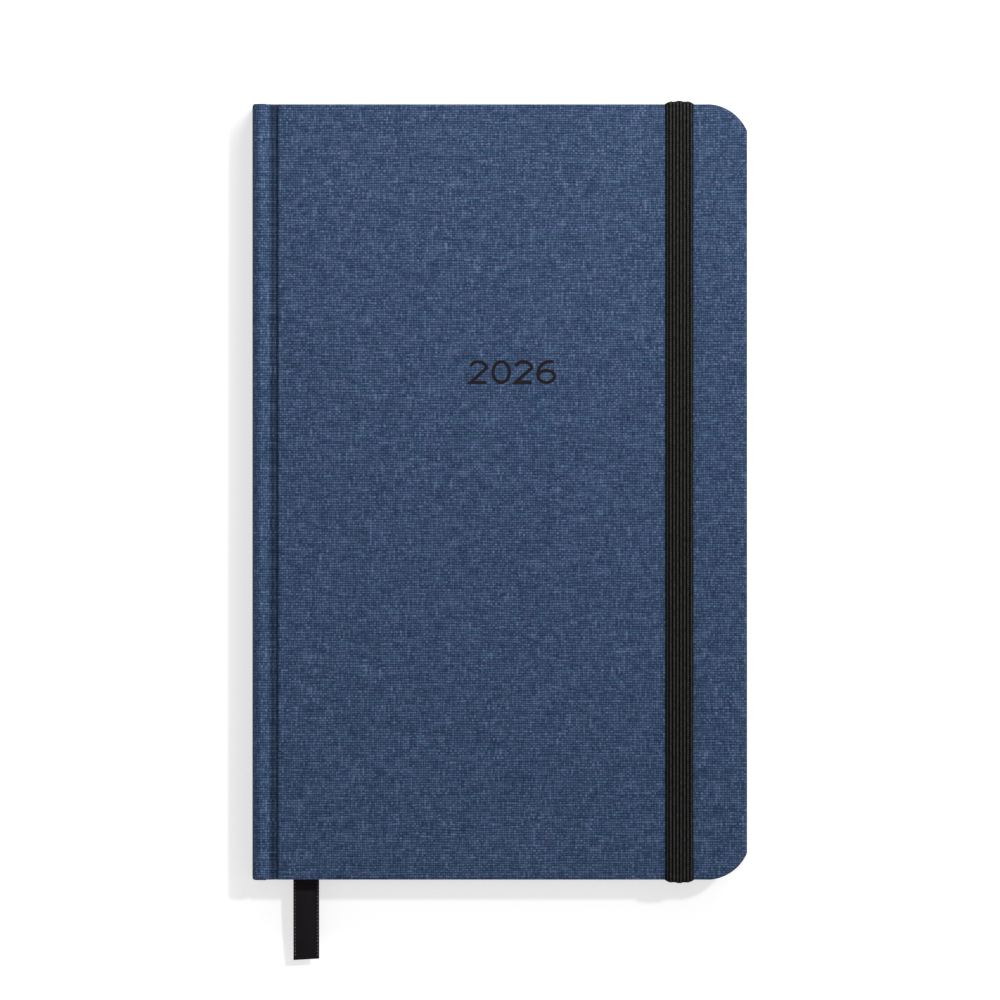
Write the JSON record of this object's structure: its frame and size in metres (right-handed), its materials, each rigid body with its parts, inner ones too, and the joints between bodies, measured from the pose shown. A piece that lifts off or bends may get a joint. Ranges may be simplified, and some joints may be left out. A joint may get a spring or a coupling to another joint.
{
  "type": "hardcover logbook",
  "caption": "Cloth-bound hardcover logbook with hinged covers, turning leaves, ribbon marker, elastic closing strap and a year stamped on the front",
  "frame": {"origin": "centre of the back cover's outer face, which the book rests on", "axes": "+X from the spine to the fore-edge, +Y from the tail to the head, +Z from the back cover to the front cover"},
  "size_m": [0.134, 0.233, 0.0159],
  "materials": {
    "cover_cloth": "matt plain-weave book cloth",
    "board": "grey board",
    "endpaper": "matt heavy paper",
    "page": "matt writing paper",
    "mull": "open starched gauze",
    "lining_paper": "kraft paper",
    "thread": "linen thread",
    "band": "striped woven band",
    "ribbon": "satin ribbon",
    "elastic": "ribbed woven elastic",
    "stamp": "pigment foil"
  },
  "bodies": {
    "text_block": {"signature_02": "page", "signature_03": "page", "signature_04": "page", "signature_05": "page", "signature_06": "page", "signature_07": "page", "signature_08": "page", "signature_09": "page", "signature_10": "page", "signature_01_fold": "page", "front_endpaper_fold": "endpaper", "back_flyleaf": "endpaper", "sewing_thread": "thread", "spine_mull": "mull", "spine_liner": "lining_paper", "headband": "band", "tailband": "band", "spine_board": "board", "spine_cloth": "cover_cloth", "front_joint_cloth": "cover_cloth", "back_joint_cloth": "cover_cloth", "ribbon_marker": "ribbon"},
    "front_cover": {"front_board": "board", "front_cover_cloth": "cover_cloth", "front_pastedown": "endpaper", "front_mull_flap": "mull", "year_stamp": "stamp"},
    "back_cover": {"back_board": "board", "back_cover_cloth": "cover_cloth", "back_pastedown": "endpaper", "back_mull_flap": "mull", "strap_end_head": "elastic", "strap_end_tail": "elastic"},
    "strap": {"elastic_strap": "elastic"},
    "ribbon_tail": {"ribbon_tail": "ribbon"},
    "front_flyleaf": {"front_flyleaf": "endpaper"},
    "leaf_01": {"leaf_01": "page"},
    "leaf_02": {"leaf_02": "page"},
    "leaf_03": {"leaf_03": "page"},
    "leaf_04": {"leaf_04": "page"},
    "leaf_05": {"leaf_05": "page"},
    "leaf_06": {"leaf_06": "page"},
    "leaf_07": {"leaf_07": "page"},
    "leaf_08": {"leaf_08": "page"}
  },
  "joints": [
    {"name": "front_cover_hinge", "type": "hinge", "parent": "text_block", "child": "front_cover", "pos_m": [-0.0637, 0, 0.0126], "axis": [0, -1, 0], "range_deg": [0, 179.5]},
    {"name": "back_cover_hinge", "type": "hinge", "parent": "text_block", "child": "back_cover", "pos_m": [-0.0637, 0, 0.0024], "axis": [0, 1, 0], "range_deg": [0, 179.5]},
    {"name": "strap_swing", "type": "hinge", "parent": "back_cover", "child": "strap", "pos_m": [0.04865, 0, 0.0019], "axis": [0, 1, 0], "range_deg": [0, 179.5], "deforming": ["elastic_strap"]},
    {"name": "ribbon_swing", "type": "hinge", "parent": "text_block", "child": "ribbon_tail", "pos_m": [-0.0525, -0.1054, 0.00655], "axis": [-1, 0, 0], "range_deg": [-16, 90]},
    {"name": "front_flyleaf_turn", "type": "hinge", "parent": "text_block", "child": "front_flyleaf", "pos_m": [-0.057, 0, 0.01138], "axis": [0, -1, 0], "range_deg": [0, 130]},
    {"name": "leaf_01_turn", "type": "hinge", "parent": "text_block", "child": "leaf_01", "pos_m": [-0.057, 0, 0.01138], "axis": [0, -1, 0], "range_deg": [0, 130]},
    {"name": "leaf_02_turn", "type": "hinge", "parent": "text_block", "child": "leaf_02", "pos_m": [-0.057, 0, 0.01138], "axis": [0, -1, 0], "range_deg": [0, 130]},
    {"name": "leaf_03_turn", "type": "hinge", "parent": "text_block", "child": "leaf_03", "pos_m": [-0.057, 0, 0.01138], "axis": [0, -1, 0], "range_deg": [0, 130]},
    {"name": "leaf_04_turn", "type": "hinge", "parent": "text_block", "child": "leaf_04", "pos_m": [-0.057, 0, 0.01138], "axis": [0, -1, 0], "range_deg": [0, 130]},
    {"name": "leaf_05_turn", "type": "hinge", "parent": "text_block", "child": "leaf_05", "pos_m": [-0.057, 0, 0.01138], "axis": [0, -1, 0], "range_deg": [0, 130]},
    {"name": "leaf_06_turn", "type": "hinge", "parent": "text_block", "child": "leaf_06", "pos_m": [-0.057, 0, 0.01138], "axis": [0, -1, 0], "range_deg": [0, 130]},
    {"name": "leaf_07_turn", "type": "hinge", "parent": "text_block", "child": "leaf_07", "pos_m": [-0.057, 0, 0.01138], "axis": [0, -1, 0], "range_deg": [0, 130]},
    {"name": "leaf_08_turn", "type": "hinge", "parent": "text_block", "child": "leaf_08", "pos_m": [-0.057, 0, 0.01138], "axis": [0, -1, 0], "range_deg": [0, 130]}
  ],
  "couplings": [
    {"joint": "strap_swing", "follows": "front_cover_hinge", "ratio": 1},
    {"joint": "front_flyleaf_turn", "follows": "front_cover_hinge", "ratio": 0.7242},
    {"joint": "leaf_01_turn", "follows": "front_cover_hinge", "ratio": 0.6351},
    {"joint": "leaf_02_turn", "follows": "front_cover_hinge", "ratio": 0.546},
    {"joint": "leaf_03_turn", "follows": "front_cover_hinge", "ratio": 0.4568},
    {"joint": "leaf_04_turn", "follows": "front_cover_hinge", "ratio": 0.3677},
    {"joint": "leaf_05_turn", "follows": "front_cover_hinge", "ratio": 0.2786},
    {"joint": "leaf_06_turn", "follows": "front_cover_hinge", "ratio": 0.2006},
    {"joint": "leaf_07_turn", "follows": "front_cover_hinge", "ratio": 0.1226},
    {"joint": "leaf_08_turn", "follows": "front_cover_hinge", "ratio": 0.0557}
  ]
}
